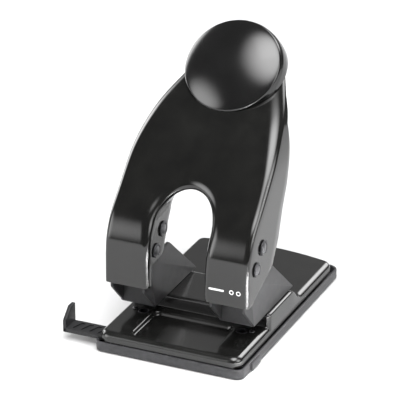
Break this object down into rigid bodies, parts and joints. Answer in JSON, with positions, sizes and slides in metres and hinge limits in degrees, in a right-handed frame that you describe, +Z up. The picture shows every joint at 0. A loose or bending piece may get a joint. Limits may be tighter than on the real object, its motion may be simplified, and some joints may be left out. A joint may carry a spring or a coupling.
{
  "type": "hole punch",
  "caption": "Desk hole punch: a tall bent palm lever on punch towers, a stepped base with a sliding paper gauge, and a hinged chip tray.",
  "frame": {"origin": "middle of the tray's length and width, on the surface the punch stands on", "axes": "+Z up, +X to the right of a person using it, +Y away from that person, the way the paper goes in"},
  "size_m": [0.149, 0.198, 0.221],
  "materials": {
    "black_paint": "gloss",
    "grey_paint": "satin",
    "tray_plastic": "satin, finely grained",
    "knob_plastic": "high gloss",
    "steel": "ground",
    "dark_steel": "blackened",
    "spring_steel": "drawn wire",
    "nylon": "matte",
    "rubber": "matte"
  },
  "bodies": {
    "tray": {"chip_tray": "tray_plastic", "foot_1": "rubber", "foot_2": "rubber", "foot_3": "rubber", "foot_4": "rubber", "grip_pad": "rubber"},
    "base": {"tray_hinge_rod": "steel", "base_plate": "black_paint", "die_left": "steel", "deck_rivet_left": "dark_steel", "tower_left": "grey_paint", "tower_screw_left_1": "dark_steel", "tower_screw_left_2": "dark_steel", "punch_guide_left": "steel", "pivot_axle_left": "dark_steel", "pivot_clip_left_inner": "dark_steel", "spacer_left_inner": "nylon", "pivot_clip_left_outer": "dark_steel", "spacer_left_outer": "nylon", "die_right": "steel", "deck_rivet_right": "dark_steel", "tower_right": "grey_paint", "tower_screw_right_1": "dark_steel", "tower_screw_right_2": "dark_steel", "punch_guide_right": "steel", "pivot_axle_right": "dark_steel", "pivot_clip_right_inner": "dark_steel", "spacer_right_inner": "nylon", "pivot_clip_right_outer": "dark_steel", "spacer_right_outer": "nylon", "gauge_guide_outer": "steel", "gauge_guide_inner": "steel"},
    "lever": {"lever": "black_paint", "knob": "knob_plastic", "knob_screw_1": "dark_steel", "knob_screw_2": "dark_steel", "drive_axle_left": "dark_steel", "drive_clip_left_inner": "dark_steel", "drive_clip_left_outer": "dark_steel", "drive_axle_right": "dark_steel", "drive_clip_right_inner": "dark_steel", "drive_clip_right_outer": "dark_steel"},
    "punch_left": {"punch_left": "steel", "return_spring_left": "spring_steel"},
    "punch_right": {"punch_right": "steel", "return_spring_right": "spring_steel"},
    "gauge": {"paper_gauge": "tray_plastic"}
  },
  "joints": [
    {"name": "tray_hinge", "type": "hinge", "parent": "tray", "child": "base", "pos_m": [0, 0.085, 0.0103], "axis": [-1, 0, 0], "range_deg": [0, 50]},
    {"name": "lever_press", "type": "hinge", "parent": "base", "child": "lever", "pos_m": [0, -0.0684, 0.0765], "axis": [-1, 0, 0], "range_deg": [0, 45], "stiffness_Nm_per_rad": 1.5, "springref_deg": -28.65},
    {"name": "punch_left_slide", "type": "slide", "parent": "base", "child": "punch_left", "axis": [0, 0, -1], "range_m": [0, 0.0125], "deforming": ["return_spring_left"]},
    {"name": "punch_right_slide", "type": "slide", "parent": "base", "child": "punch_right", "axis": [0, 0, -1], "range_m": [0, 0.0125], "deforming": ["return_spring_right"]},
    {"name": "gauge_slide", "type": "slide", "parent": "base", "child": "gauge", "axis": [-1, 0, 0], "range_m": [-0.0254, 0.06]}
  ],
  "couplings": [
    {"joint": "punch_left_slide", "follows": "lever_press", "m_per_rad": 0.015322},
    {"joint": "punch_right_slide", "follows": "lever_press", "m_per_rad": 0.015322}
  ]
}
